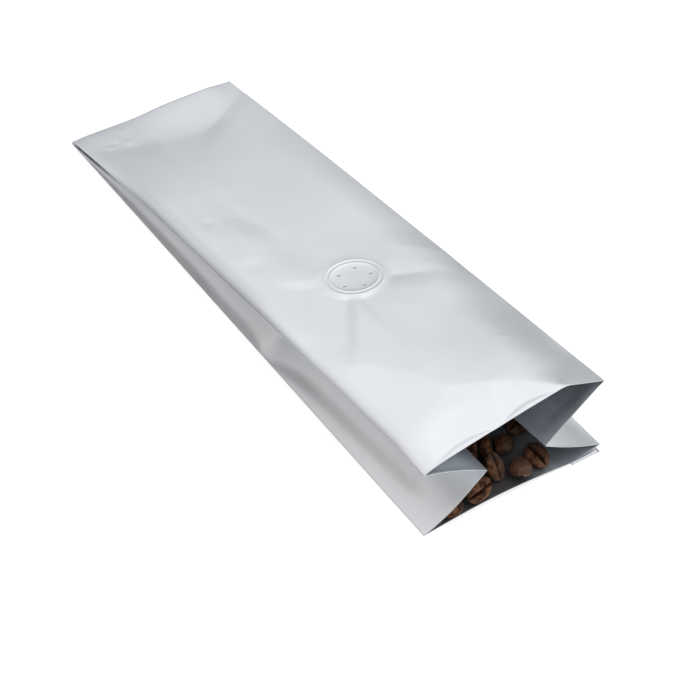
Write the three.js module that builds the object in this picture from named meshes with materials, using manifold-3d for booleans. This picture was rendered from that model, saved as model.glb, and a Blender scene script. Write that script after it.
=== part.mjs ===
// A side-gusset coffee bag of matte silver film. It lies on its back panel, with its mouth propped open
// by the gussets and a few roasted beans just inside. Millimetres, +Z up. The mouth faces -Y and the
// sealed end +Y, and the origin is the middle of the floor that the bag lies on.

import * as THREE from 'three';
import { mergeVertices } from 'three/addons/utils/BufferGeometryUtils.js';
import Module from 'manifold-3d';

const wasm = await Module();
wasm.setup();

// Driving dimensions of the bag
const panelWidth = 80;
const bagLength = 272.6;
const gussetHalf = 31.5;
const filmThickness = 0.35;
const sealLength = 15;

// How the bag lies: heights are those of the middle of the film
const sealRise = 1.65;
const sealStep = 0.6;
const crownHeight = 3.15;
const crownRunIn = 120;
const lipReach = 60;
const lipRidge = 23.5;
const lipRidgeHeight = 6.6;
const backLift = 2.9;
const backLiftCurve = 1.5;
const lipArch = 2.4;
const lipArchReach = 34;
const drawBack = 0.55;
const finRoot = 28;
const finOverlap = 2;
const finThickness = 0.3;
const finTipInset = 0.6;

// The two sides: where the front panel's edge stands at the mouth, how its height falls towards the seal,
// how high the gusset's inward fold lies between floor and edge, and how far its halves bow up at the mouth
const left = { sign: -1, mouthRise: 30.7, fall: 0.75, foldShare: 0.6, upperBow: 1.2, lowerBow: 0 };
const right = { sign: 1, mouthRise: 35.3, fall: 0.92, foldShare: 0.46, upperBow: 0.5, lowerBow: -0.9 };
const gussetSwell = 1.1;
const sealFoldShare = 0.5;

// Grid of the film: steps across a gusset half, across the flat middle, and along the bag
const gussetSteps = 4;
const middleSteps = 2;
const middleWidth = 14;
const openSteps = 20;
const sealSteps = 2;

// One-way valve welded under the front panel
const valveFromMouth = 107.6;
const valveDiameter = 22;
const valveFlange = 0.8;
const valveCupDiameter = 16;
const valveCupDepth = 3.2;
const valveCupWall = 1.1;
const valveOutletDiameter = 5;
const valveGap = 0.9;
const valveFacets = 32;

// A roasted bean: long axis, width, domed back and nearly flat face with its groove, and how blunt its ends are
const beanLength = 11.2;
const beanWidth = 8.2;
const beanDome = 3.5;
const beanFace = 1.7;
const beanEndPower = 0.85;
const grooveDepth = 0.9;
const beanFacets = 12;
const beanRings = 10;

// Where the beans lie: x, distance from the mouth, then the turn of the long axis on the floor, its slope and
// its roll in degrees (the face with the groove is up at roll 0), and the size
const beanPlaces = [
  { x: 15.0, inward: 6.6, turn: 92, slope: 8, roll: -12, size: 1.04 },
  { x: 6.4, inward: 5.1, turn: 62, slope: -14, roll: 176, size: 0.94 },
  { x: -2.2, inward: 9.2, turn: 86, slope: 40, roll: 18, size: 1.0 },
  { x: -12.8, inward: 4.6, turn: 20, slope: 8, roll: 28, size: 1.06 },
  { x: -24.6, inward: 4.3, turn: 12, slope: 0, roll: 170, size: 0.92 },
  { x: 9.0, inward: 19.0, turn: 58, slope: 8, roll: 12, size: 0.92 },
  { x: 2.2, inward: 20.2, turn: 62, slope: 12, roll: 78, size: 0.94 },
  { x: -3.9, inward: 21.6, turn: 64, slope: 6, roll: 104, size: 0.94 },
  { x: 19.4, inward: 24.6, turn: 20, slope: -6, roll: 8, size: 1.02 },
];
const beanGap = 0.3;

const halfWidth = panelWidth / 2;
const halfFilm = filmThickness / 2;
const panelSteps = 2 * gussetSteps + middleSteps;

const lerp = THREE.MathUtils.lerp;
const smooth = (value) => THREE.MathUtils.smoothstep(value, 0, 1);

// How open the bag is at a distance from the mouth: 1 at the mouth, 0 at the sealed edge
function openness(fromMouth) {
  return 1 - fromMouth / bagLength;
}

// Height of a long edge of the front panel
function edgeHeight(side, fromMouth) {
  const base = sealRise + (side.sign > 0 ? sealStep : 0);
  return base + (side.mouthRise - base) * openness(fromMouth) ** side.fall;
}

// The front panel is crowned along its length, and its lip is pulled up into one ridge
function frontHeight(x, fromMouth) {
  const chord = lerp(edgeHeight(left, fromMouth), edgeHeight(right, fromMouth), x / panelWidth + 0.5);
  const arch = 1 - (x / halfWidth) ** 2;
  const span = x < lipRidge ? halfWidth + lipRidge : halfWidth - lipRidge;
  const tent = 1 - Math.abs(x - lipRidge) / span;
  const lip = smooth(1 - fromMouth / lipReach);
  const fullness = smooth((bagLength - fromMouth) / crownRunIn);
  return chord + fullness * lerp(crownHeight * arch, lipRidgeHeight * tent, lip);
}

// The back panel lies on the floor, except the strip beside the fin seal, which the fin props up, and its lip,
// which arches up between its left corner and the fin
function backHeight(x, fromMouth) {
  const strip = Math.max(0, (x - finRoot) / (halfWidth - finRoot));
  const lift = lerp(finThickness + halfFilm, backLift, openness(fromMouth));
  const arch = strip > 0 ? 0 : Math.sin((Math.PI * (x + halfWidth)) / (finRoot + halfWidth));
  return halfFilm + lift * strip ** backLiftCurve + lipArch * arch * smooth(1 - fromMouth / lipArchReach);
}

// Points across a panel, closer together in the middle than over the gussets
function panelX(step) {
  const wing = halfWidth - middleWidth / 2;
  if (step <= gussetSteps) return -halfWidth + (wing * step) / gussetSteps;
  if (step >= gussetSteps + middleSteps) return halfWidth - (wing * (panelSteps - step)) / gussetSteps;
  return -middleWidth / 2 + (middleWidth * (step - gussetSteps)) / middleSteps;
}

// The fold of a gusset, drawn inwards until each half has its full width
function foldPoint(side, fromMouth) {
  const height = edgeHeight(side, fromMouth);
  const share = lerp(sealFoldShare, side.foldShare, openness(fromMouth));
  const depth = Math.sqrt(gussetHalf ** 2 - (height / 2) ** 2);
  return new THREE.Vector2(side.sign * (halfWidth - depth), halfFilm + share * (height - halfFilm));
}

// Points strictly between an edge of the bag and the fold of a gusset. The film is cut straight at the mouth
// and swells into an S further in, and goes flat again towards the seal.
function gussetPoints(edge, fold, bow, fromMouth) {
  const points = [];
  const open = openness(fromMouth);
  const swell = gussetSwell * 4 * open * (1 - open);
  for (let step = 1; step < gussetSteps; step += 1) {
    const share = step / gussetSteps;
    const eased = lerp(share, smooth(share), swell);
    const rise = lerp(edge.y, fold.y, eased) + 4 * bow * open * share * (1 - share);
    points.push(new THREE.Vector2(lerp(edge.x, fold.x, share), rise));
  }
  return points;
}

// The middle of the film once round the bag, clockwise as seen from the mouth: front panel, right gusset,
// back panel, left gusset. Each point says whether it is an outward corner or an inward fold.
function filmLoop(fromMouth) {
  const front = [];
  const back = [];
  for (let step = 0; step <= panelSteps; step += 1) {
    const x = panelX(step);
    front.push(new THREE.Vector2(x, frontHeight(x, fromMouth)));
    back.unshift(new THREE.Vector2(x, backHeight(x, fromMouth)));
  }
  const rightFold = foldPoint(right, fromMouth);
  const leftFold = foldPoint(left, fromMouth);
  const loop = [];
  const put = (points, kind) => points.forEach((point) => loop.push({ point, kind }));
  put(front.slice(0, 1), 'corner');
  put(front.slice(1, -1), 'panel');
  put(front.slice(-1), 'corner');
  put(gussetPoints(front.at(-1), rightFold, right.upperBow, fromMouth), 'panel');
  put([rightFold], 'fold');
  put(gussetPoints(back[0], rightFold, right.lowerBow, fromMouth).reverse(), 'panel');
  put(back.slice(0, 1), 'corner');
  put(back.slice(1, -1), 'panel');
  put(back.slice(-1), 'corner');
  put(gussetPoints(back.at(-1), leftFold, left.lowerBow, fromMouth), 'panel');
  put([leftFold], 'fold');
  put(gussetPoints(front[0], leftFold, left.upperBow, fromMouth).reverse(), 'panel');
  return loop;
}

// Moves the loop out (distance > 0) or in by a distance. Points of the kind named blunt become two, so that
// an acute edge of the film keeps its thickness; the others are mitred.
function offsetLoop(loop, distance, blunt) {
  const normals = loop.map(({ point }, index) => {
    const along = loop[(index + 1) % loop.length].point.clone().sub(point).normalize();
    return new THREE.Vector2(-along.y, along.x);
  });
  return loop.map(({ point, kind }, index) => {
    const before = normals[(index + loop.length - 1) % loop.length];
    const after = normals[index];
    if (kind === blunt) {
      return [before, after].map((normal) => point.clone().addScaledVector(normal, distance));
    }
    const mitre = before.clone().add(after).divideScalar(1 + before.dot(after));
    return [point.clone().addScaledVector(mitre, distance)];
  });
}

// The film can't stretch, so what is lifted off the floor at the mouth is drawn back towards the seal
function placeInBag(point, fromMouth) {
  const drawnBack = (drawBack * openness(fromMouth) * point.y ** 2) / (2 * bagLength);
  return new THREE.Vector3(point.x, fromMouth + drawnBack - bagLength / 2, point.y);
}

// Collects corners and triangles, and drops a triangle that has two corners in one place
class MeshBuilder {
  positions = [];
  triangles = [];

  vertex(position) {
    this.positions.push(position.x, position.y, position.z);
    return this.positions.length / 3 - 1;
  }

  triangle(a, b, c) {
    if (a !== b && b !== c && c !== a) this.triangles.push(a, b, c);
  }

  quad(a, b, c, d) {
    this.triangle(a, b, c);
    this.triangle(a, c, d);
  }

  // Joins two closed rings of the same count, the second one further along +Y
  tube(ring, next) {
    ring.forEach((corner, index) => {
      const other = (index + 1) % ring.length;
      this.quad(corner, ring[other], next[other], next[index]);
    });
  }

  solid() {
    const mesh = new wasm.Mesh({
      numProp: 3,
      vertProperties: new Float32Array(this.positions),
      triVerts: new Uint32Array(this.triangles),
    });
    return new wasm.Manifold(mesh);
  }
}

function geometryOf(solid) {
  const mesh = solid.getMesh();
  const geometry = new THREE.BufferGeometry();
  geometry.setAttribute('position', new THREE.BufferAttribute(mesh.vertProperties.slice(), 3));
  geometry.setIndex(new THREE.BufferAttribute(mesh.triVerts.slice(), 1));
  return geometry;
}

// Closes the section of the bag at one station with triangles that face the mouth (flip: the other way).
// ring holds the corners of each loop point, one or two of them.
function closeSection(builder, ring, flip) {
  const face = (a, b, c, d) => (flip ? builder.quad(d, c, b, a) : builder.quad(a, b, c, d));
  const first = (index) => ring[index % ring.length][0];
  const last = (index) => ring[index % ring.length].at(-1);
  const backStart = panelSteps + 2 * gussetSteps;
  const rightFold = panelSteps + gussetSteps;
  const leftFold = backStart + panelSteps + gussetSteps;
  const count = ring.length;
  const below = (step) => backStart + panelSteps - step;

  // Between the front panel and the upper halves of the gussets, then between their lower halves and the back
  for (let step = 0; step < gussetSteps; step += 1) {
    const leftUpper = count - step;
    const leftLower = leftFold - gussetSteps + step;
    face(last(step), first(leftUpper), last(leftUpper - 1), first(step + 1));
    face(last(leftLower), first(below(step)), last(below(step + 1)), first(leftLower + 1));
    const rightUpper = rightFold - step;
    const rightLower = rightFold + step;
    const above = panelSteps - gussetSteps + step;
    face(last(above), first(rightUpper), last(rightUpper - 1), first(above + 1));
    face(last(rightLower), first(below(above)), last(below(above + 1)), first(rightLower + 1));
  }
  // Between the folds
  for (let step = gussetSteps; step < panelSteps - gussetSteps; step += 1) {
    face(last(step), first(below(step)), last(below(step + 1)), first(step + 1));
  }
  face(first(gussetSteps), last(leftFold), first(leftFold), first(below(gussetSteps)));
  const middleEnd = panelSteps - gussetSteps;
  face(first(middleEnd), first(below(middleEnd)), last(rightFold), first(rightFold));
}

// The film as one skin of even thickness, shut by a solid seal at its far end
function filmSolid() {
  const builder = new MeshBuilder();
  const stations = [];
  for (let step = 0; step <= openSteps; step += 1) {
    stations.push(((bagLength - sealLength) * step) / openSteps);
  }
  for (let step = 1; step <= sealSteps; step += 1) {
    stations.push(bagLength - sealLength + (sealLength * step) / sealSteps);
  }
  const rings = (distance, blunt, count) =>
    stations.slice(0, count).map((fromMouth) =>
      offsetLoop(filmLoop(fromMouth), distance, blunt).map((points) =>
        points.map((point) => builder.vertex(placeInBag(point, fromMouth))),
      ),
    );
  const outer = rings(halfFilm, 'corner', stations.length);
  const inner = rings(-halfFilm, 'fold', openSteps + 1);

  for (let step = 1; step < outer.length; step += 1) builder.tube(outer[step - 1].flat(), outer[step].flat());
  for (let step = 1; step < inner.length; step += 1) {
    builder.tube(inner[step - 1].flat().reverse(), inner[step].flat().reverse());
  }
  // The cut edge at the mouth
  outer[0].forEach((corners, index) => {
    const other = (index + 1) % outer[0].length;
    const inside = inner[0][index];
    builder.quad(corners.at(-1), inside.at(-1), inner[0][other][0], outer[0][other][0]);
    builder.quad(corners[0], inside[0], inside.at(-1), corners.at(-1));
  });
  closeSection(builder, inner.at(-1), false);
  closeSection(builder, outer.at(-1), true);
  return builder.solid();
}

// The back seam: a flap along the whole bag, folded over towards the right edge and lying on the floor
function finSolid() {
  const builder = new MeshBuilder();
  const root = finRoot - finOverlap;
  const tip = halfWidth - finTipInset;
  const ends = [0, bagLength].map((fromMouth) =>
    [[root, finThickness], [tip, finThickness], [tip, 0], [root, 0]].map(([x, z]) =>
      builder.vertex(new THREE.Vector3(x, fromMouth - bagLength / 2, z)),
    ),
  );
  builder.tube(ends[0], ends[1]);
  builder.quad(ends[0][3], ends[0][2], ends[0][1], ends[0][0]);
  builder.quad(...ends[1]);
  return builder.solid();
}

function makeFilm() {
  const material = new THREE.MeshStandardMaterial({ color: 0xcdd0d6, roughness: 0.4, metalness: 0.8 });
  const mesh = new THREE.Mesh(geometryOf(filmSolid().add(finSolid())), material);
  mesh.name = 'film';
  return mesh;
}

// The valve hangs under the film, square to the panel at its place
function makeValve() {
  const cup = valveCupDiameter / 2;
  const outlet = valveOutletDiameter / 2;
  const cupFloor = -valveFlange - valveCupDepth;
  const profile = [
    [0, cupFloor],
    [outlet, cupFloor],
    [cup, -valveFlange - valveCupWall],
    [cup, -valveFlange],
    [valveDiameter / 2, -valveFlange],
    [valveDiameter / 2, 0],
    [0, 0],
  ].map(([radius, height]) => new THREE.Vector2(radius, height));
  const geometry = new THREE.LatheGeometry(profile, valveFacets).rotateX(Math.PI / 2);
  const material = new THREE.MeshStandardMaterial({ color: 0xd8dade, roughness: 0.5, metalness: 0 });
  const mesh = new THREE.Mesh(geometry, material);
  mesh.name = 'valve';
  const rim = valveDiameter / 2;
  const fall = frontHeight(0, valveFromMouth - rim) - frontHeight(0, valveFromMouth + rim);
  const under = frontHeight(0, valveFromMouth) - halfFilm - valveGap;
  mesh.position.copy(placeInBag(new THREE.Vector2(0, under), valveFromMouth));
  mesh.rotation.x = -Math.atan2(fall, valveDiameter);
  return mesh;
}

// A bean from a sphere with its poles on the long axis: a domed back, a flat face and a groove along it
function beanGeometry() {
  const geometry = new THREE.SphereGeometry(1, beanFacets, beanRings);
  geometry.deleteAttribute('normal');
  geometry.deleteAttribute('uv');
  const position = geometry.getAttribute('position');
  const nextToTop = Math.cos((2 * Math.PI) / beanFacets);
  for (let index = 0; index < position.count; index += 1) {
    const along = position.getY(index);
    const around = Math.hypot(position.getX(index), position.getZ(index));
    const across = around > 0 ? -position.getX(index) / around : 0;
    const up = around > 0 ? position.getZ(index) / around : 0;
    const girth = around ** beanEndPower;
    let height = up > 0 ? beanFace * Math.sqrt(up) : beanDome * up;
    if (up > (1 + nextToTop) / 2) height -= grooveDepth;
    position.setXYZ(index, (along * beanLength) / 2, (girth * across * beanWidth) / 2, girth * height);
  }
  return mergeVertices(geometry);
}

function makeBean(place, index) {
  const material = new THREE.MeshStandardMaterial({ color: 0x53392b, roughness: 0.6, metalness: 0 });
  const mesh = new THREE.Mesh(beanGeometry(), material);
  mesh.name = `bean_${index + 1}`;
  mesh.position.set(place.x, place.inward - bagLength / 2, 0);
  const [roll, slope, turn] = [place.roll, -place.slope, place.turn].map(THREE.MathUtils.degToRad);
  mesh.rotation.set(roll, slope, turn, 'ZYX');
  mesh.scale.setScalar(place.size);
  const box = new THREE.Box3().setFromObject(mesh, true);
  const floor = [box.min, box.max].flatMap(({ x }) =>
    [box.min, box.max].map(({ y }) => backHeight(x, y + bagLength / 2)),
  );
  mesh.position.z = Math.max(backHeight(place.x, place.inward), ...floor) + halfFilm + beanGap - box.min.z;
  return mesh;
}

const coffeeBag = new THREE.Group();
coffeeBag.add(makeFilm(), makeValve(), ...beanPlaces.map(makeBean));

export default coffeeBag;
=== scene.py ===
"""A side-gusset coffee bag of matte silver film, lying on its back with its mouth propped open.

The film's solid is drawn again as a thin creased skin, and the beans' solids as grooved roasted beans that
lie on it. The valve keeps its shape and hangs close under the skin.
"""

import math

import bmesh
import bpy
import numpy as np
from bpy.props import FloatProperty, FloatVectorProperty, PointerProperty
from bpy.types import Operator, Panel, PropertyGroup
from mathutils import Euler, Matrix, Vector, noise


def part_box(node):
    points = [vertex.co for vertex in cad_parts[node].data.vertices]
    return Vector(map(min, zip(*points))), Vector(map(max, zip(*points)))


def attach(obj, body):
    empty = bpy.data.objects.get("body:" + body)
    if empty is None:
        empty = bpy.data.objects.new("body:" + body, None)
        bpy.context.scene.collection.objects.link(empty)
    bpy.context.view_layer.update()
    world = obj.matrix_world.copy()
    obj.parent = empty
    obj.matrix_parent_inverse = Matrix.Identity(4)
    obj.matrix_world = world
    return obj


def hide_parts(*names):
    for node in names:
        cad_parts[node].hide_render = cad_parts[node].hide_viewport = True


bl_info = {
    "name": "Coffee Bag",
    "version": (1, 0, 0),
    "blender": (4, 5, 0),
    "location": "View3D > Sidebar > Coffee Bag",
    "description": "Draws a side-gusset coffee bag of creased film around its solids",
    "category": "Object",
}

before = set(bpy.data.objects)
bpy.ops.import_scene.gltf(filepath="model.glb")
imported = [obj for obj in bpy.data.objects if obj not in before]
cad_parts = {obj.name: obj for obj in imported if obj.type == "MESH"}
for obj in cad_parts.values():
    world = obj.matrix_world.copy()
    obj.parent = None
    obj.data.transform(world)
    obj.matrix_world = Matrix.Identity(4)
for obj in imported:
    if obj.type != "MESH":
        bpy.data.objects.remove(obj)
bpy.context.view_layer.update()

MM = 0.001
BODY = "root"

# How the bag lies, in millimetres. Heights are those of the middle of the film, and a list of pairs gives a
# value at each distance from the mouth, unless its comment says otherwise
SEAL_RISE = 1.2
SEAL_STEP = 0.5
CROWN_SLOPE = 0.021
CROWN_END = (150, 40)
BACK_LIFT = 2.9
BACK_LIFT_CURVE = 0.9
DRAW_BACK = 0.55

# The lip: how the front panel's is pulled up and the back panel's arches, the curl of the front one as shares
# of its depth, the two lengths that curl (middle, half length), and how the left gusset droops (drop, reach)
LIP_REACH = 77
LIP_SLOPE = 0.1065
LIP_ARCH = 2.4
LIP_ARCH_REACH = 34
LIP_CURL = [(0, 0), (0.24, 0.034), (0.95, -0.062), (6, 0)]
LIP_CURL_DEPTH = 4.0
LIP_CURL_LEAST = 0.01
LIP_CURL_LENGTHS = [(-22, 13.5), (6, 12)]
LIP_DROOPS = [(0.6, 3.5), (0.4, 17)]
LIP_DROOP_EASE = 6

# The fin of the back seam, from its root to its tip, and its slight wave (height, turn along and across it)
FIN_ROOT = 28
FIN_TIP = 39.4
FIN_THICKNESS = 0.3
FIN_START = -1.0
FIN_OVERLAP = 1.5
FIN_EASE = 6
FIN_WAVE = (0.08, 0.21, 0.35)

# The folds and gussets: the loose bend at a fold (at the seal, elsewhere), how far it shows, and where a
# gusset bulges behind the mouth (place, reach)
FOLD_ROLL = 0.25
FOLD_DECAY = 2.5
FOLD_BEAD = (0.03, 0.05)
FOLD_BEAD_GROWTH = 5
SEAL_FOLD_SHARE = 0.5
GUSSET_SWELL = 1.1
BULGE_PLACE = (9, 36)

# How the left edge of the front panel rounds over, closely and in a wide roll (rise, width), how it is
# lifted, how the panel stands at the lip, and where painted shade darkens the film along the edge (start, end,
# ease)
EDGE_RISE = [(0, 0.1), (5, 0.15), (12, 0.38), (20, 0.56), (60, 0.6), (90, 0.9), (120, 1.4), (160, 1.4),
             (215, 1.8)]
EDGE_WIDTH = [(0, 2.2), (5, 2.3), (12, 3.1), (20, 3.5), (60, 3.6), (90, 4.1), (120, 4.8), (160, 4.8),
              (215, 5.2)]
EDGE_ROLL_POWER = 3
EDGE_ROLL_FADE = 3.5
EDGE_LIFT = [(0, 0), (5, 0.3), (12, 0.6), (20, 0.8), (60, 0.8), (90, 0.5), (120, 0)]
EDGE_SETTLE = [(0, 1.3), (5, 0.95), (12, 0.42), (20, 0.04), (24, 0)]
EDGE_SETTLE_WIDTH = 45
WIDE_ROLL = (1.0, 12)
WIDE_ROLL_END = (190, 110)
PAINTED_SHADE_RUN = (95, 240, 35)
PAINTED_SHADE_WIDTH = (7.5, 5)
PAINTED_SHADE_TONE = 0.86

# The valve: its x, how far its body lies from its solid, and its relief in the film: a pad (height, width),
# ridges and a groove (height, distance outside the ring, width), a dish (height, margin, flatness) and pin
# holes. The panel's creases keep clear of it
VALVE_ACROSS = 0.9
VALVE_SHIFT = (0.9, 1.3, -1.05)
VALVE_PAD = (0.035, 3.2)
VALVE_RIDGES = [(0.09, 0.1, 0.55), (-0.11, -1.1, 0.38), (0.09, -2.0, 0.6)]
VALVE_DISH = (-0.26, 1.8, 4)
VALVE_CLEAR = 4
PIN_COUNT = 5
PIN_START = -87
PIN_RADIUS = 0.42
PIN_DEPTH = 0.35

# The swell of the sealed end: where it starts, how it grows, its rise right of the middle (rise, start, ease)
# and all over (rise, ease), and how it eases off at the right edge
SEAL_SWELL_START = 244
SEAL_SWELL_GROWTH = 1.5
SEAL_SWELL_RIGHT = (0.85, -10, 20)
SEAL_SWELL_ALL = (0.25, 8)
SEAL_SWELL_EASE = 13

# The film's grid: the longest steps between its columns and between its rings (place, step after it), and the
# turn between columns at a fold, in degrees
COLUMN_STEPS = {"edge": 0.5, "panel": 0.9, "back": 3.0, "fin": 1.5}
EDGE_COLUMNS = 5
LIP_RINGS = [(0, 0.4), (5, 0.8), (75, 1.2)]
FAR_RING_STEP = 1.4
SEAL_RINGS = (228, 0.9)
VALVE_STEP = 0.36
VALVE_MARGIN = 2.2
FOLD_TURN = 30
GUSSET_COLUMNS = 27
GUSSET_SPREAD = 1.35
SEAM_STEPS = (2.0, 1.0)

# Painted shade on the inside of the back panel: its share at most, and where it lies (middle, half width, ease)
INSIDE_SHADE_MOST = 0.92
INSIDE_SHADE_PLACE = (-12, 32, 16)

# The ridge that the front panel rounds down from to its right edge: its x and how far the rounding reaches on
# either side of it
RIDGE_PLACE = [(0, 22.8), (5, 22), (12, 23), (20, 26.5), (30, 30.5), (45, 34.2), (60, 35.2), (80, 35.2),
               (100, 34.5)]
RIDGE_REACH = [(0, 3), (5, 5.5), (12, 9.5), (20, 12), (30, 14), (45, 16), (60, 17), (80, 13), (100, 9)]

# The left gusset's lower half: where it kinks along the bag, where its steep bank starts and ends inwards
# from the edge (beyond the kink: a share of the edge's height), its slopes before, on and after the bank, how
# softly it turns, where its shelf starts (share of the edge's height, more), and the height of the edge over
# which bank and shelf flatten to the seal (start, run)
GUSSET_KINK = 128
BANK_FOOT = [(0, 8.5), (20, 6.2), (35, 5.3), (63, 4.0), (77, 3.2), (89, 2.2), (100, 0.8), (108, 0)]
BANK_FOOT_FAR = -0.5
BANK_BROW = [(0, 11.5), (20, 9.2), (35, 8.3), (63, 7.0), (77, 6.2), (89, 5.2), (96, 4.0), (103, 2.2),
             (109, 0.6), (113, 0.4), (119, 1.8), (128, 2.86)]
BANK_BROW_SHARE = 0.148
BANK_BEFORE = [(0, 0.54), (10, 0.52), (40, 0.56), (70, 0.63), (90, 0.68), (110, 0.75)]
BANK_STEEP = [(0, 0.5), (10, 0.58), (20, 0.82), (35, 0.86), (63, 0.92), (77, 1.0), (89, 1.1), (145, 1.05),
              (165, 1.25), (200, 1.32), (250, 1.35)]
BANK_AFTER = [(0, 0.62), (60, 0.62), (95, 0.68), (106, 0.74), (113, 0.68), (119, 0.72), (150, 0.64),
              (200, 0.62)]
BANK_SOFTNESS = [(0, 0.8), (60, 0.6), (105, 0.35), (150, 0.28), (272.6, 0.2)]
BANK_SHELF = (0.42, 1)
BANK_FLATTENS = (0, 5)
SHELF_FLATTENS = (2.5, 6)

# The two sides: how the panel's edge falls towards the seal, where the gusset's fold lies between floor and
# edge, how far the halves of the gusset bow up at the mouth, and how far the upper one bulges behind it
SIDES = {
    "left": {"sign": -1, "fall": 0.75, "fold": 0.6, "upper_bow": 1.2, "lower_bow": 0.0, "bulge": 3.2},
    "right": {"sign": 1, "fall": 0.92, "fold": 0.46, "upper_bow": 0.5, "lower_bow": -0.9, "bulge": -2.4},
}

# Facets that the pulled lip makes. One climbs from the lip, one from the left edge, and the panel's own runs
# in ridges along one slanting direction: (place across the ridges, height). It ends over a stretch of the bag
LIP_FACET = (0.036, 0.0009)
LIP_FACET_START = 2.0
LIP_FACET_SOFTNESS = 0.10
SIDE_FACET = (0.045, 0.00083)
RIDGE_ACROSS = (0.91, -0.42)
PANEL_FACET = [(-68, 0), (-57.7, 0.71), (-45.8, 1.5), (-37.9, 1.82), (-29.5, 2.05), (-23.7, 1.99),
               (-4.8, 1.66), (18.1, 0.41), (26, 0)]
PANEL_FACET_END = (60, 75)
FACET_SOFTNESS = 0.015
CREASE_POWER = 1.2

# Creases of the front panel that run across it: x, distance from the mouth and height at each point. They die
# out over one distance towards the mouth and another towards the seal, and their tops are rounded.
CROSS_CREASES = [
    {"points": [(2, 106, 0), (9, 102.5, -0.34), (14, 100, -0.42), (20, 96.8, -0.4), (27, 93, -0.26),
                (39, 86, 0)],
     "before": 10.5, "after": 17, "rounding": 1.2, "power": 2.0},
    {"points": [(20, 122, 0), (27, 115, 0.12), (33, 109, 0.18), (40, 103, 0.2)],
     "before": 9, "after": 16, "rounding": 1.0},
    {"points": [(-30, 127, 0), (-18, 120.5, 0.21), (-9, 116, 0.2), (2, 113, 0)],
     "before": 6, "after": 24, "rounding": 0.8},
    {"points": [(-33, 179.5, 0), (-25, 178, -0.26), (-15, 174, -0.26), (-7, 168, 0)],
     "before": 15, "after": 50, "rounding": 0.7},
    {"points": [(-2, 231.5, 0), (5, 238.5, -0.2), (12, 243, -0.32), (20, 247.5, -0.34), (30, 254, -0.32),
                (40, 260, -0.18)],
     "before": 9, "after": 24, "rounding": 0.4},
    {"points": [(-40, 257, -0.1), (-30, 253.5, -0.15), (-20, 249.5, -0.16), (-12, 252, -0.12),
                (-8, 252.5, 0)],
     "before": 11, "after": 20, "rounding": 0.4},
    {"points": [(-40, 256, -0.3), (-30, 253, -0.5), (-20, 249.5, -0.6), (-10, 246.5, -0.75), (0, 242.5, -0.9),
                (12, 244.5, -0.9), (20, 248.5, -0.85), (30, 254.5, -0.7), (40, 260, -0.45)],
     "before": 75, "after": 30, "rounding": 3.0},
]
# Creases that run along the panel: distance from the mouth, x and height. They die out to the left and right.
LONG_CREASES = [
    {"points": [(0, -8.5, -0.11), (8, -10, -0.13), (19, -13.5, 0)],
     "before": 4, "after": 15, "rounding": 0.4},
    {"points": [(58, -35.5, 0), (69, -28.5, -0.16), (80, -21.4, -0.35), (97, -10.5, -0.4),
                (106, -4.7, -0.3), (109, -3, 0)],
     "before": 15, "after": 5, "rounding": 0.8},
    {"points": [(52, -5.5, 0), (70, -5, -0.14), (82, -4.5, -0.28), (94, -3.5, -0.36), (104, -1, -0.3),
                (107, -1, 0)],
     "before": 4, "after": 11, "rounding": 1.0},
    {"points": [(112, -6.5, 0), (125, -7, -0.2), (138, -7.6, -0.34), (150, -8.2, -0.42), (163, -9.5, -0.46),
                (178, -12, -0.3), (200, -14, -0.12), (230, -14, 0)],
     "before": 9, "after": 38, "rounding": 1.2},
    {"points": [(155, -10.5, 0), (205, -10.5, -0.3), (238, -10.5, -0.6), (252, -10.5, -0.75),
                (275, -10.5, -0.5)],
     "before": 22, "after": 36, "rounding": 1.0},
]

# Small round dents and bumps of the front panel: x, distance from the mouth, height and radius
DENTS = [
    (-27, 140, -0.13, 4.5),
    (-26.5, 177, -0.12, 1.6),
    (-30, 255.5, 0.14, 1.6),
    (-26.5, 257, -0.12, 1.5),
    (-21, 255, 0.14, 2.0),
    (-18, 265.5, 0.12, 2.0),
    (22.5, 40, 0.1, 1.4),
]

# The light all round, from the horizon up and from left to right: (place, brightness, blueness)
UPWARDS = [(0, 0.06, 0), (0.13, 0.19, 0), (0.33, 0.66, 0.02), (0.40, 0.85, 0.035), (0.44, 0.90, 0.035),
           (0.49, 0.918, 0.03), (0.545, 0.935, 0.015), (0.575, 0.99, 0.005), (0.60, 1.06, 0), (0.63, 1.22, 0),
           (0.65, 1.34, 0), (0.70, 1.41, 0), (0.75, 1.41, 0), (0.86, 1.44, 0), (0.95, 1.24, 0), (1, 1.08, 0)]
ACROSS = [(0, 0.42, -0.03), (0.15, 0.53, -0.03), (0.2, 0.62, -0.03), (0.27, 0.75, -0.02), (0.32, 0.81, -0.02),
          (0.5, 0.98, 0), (0.7, 1.18, 0), (0.8, 1.19, 0), (0.86, 1.12, 0), (0.92, 1.03, 0), (1, 0.88, 0)]

# The turn of each bean's long axis on the floor, its slope and its roll in degrees (0: the grooved face is up),
# and its size
BEAN_TURNS = {
    "bean_1": (92, 8, -12, 1.04),
    "bean_2": (60, -25, 180, 1.08),
    "bean_3": (86, 40, 18, 1.0),
    "bean_4": (12, 8, 62, 1.06),
    "bean_5": (12, 14, 170, 0.80),
    "bean_6": (56, -18, 166, 1.0),
    "bean_7": (62, 12, 78, 0.94),
    "bean_8": (64, 6, 104, 0.94),
    "bean_9": (20, -6, 8, 1.02),
}

# How far some of them lie from their solids, in x and y
BEAN_SHIFTS = {"bean_2": (-0.3, -0.6), "bean_4": (-1.0, -1.6), "bean_5": (-1.0, -1.8)}

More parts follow.
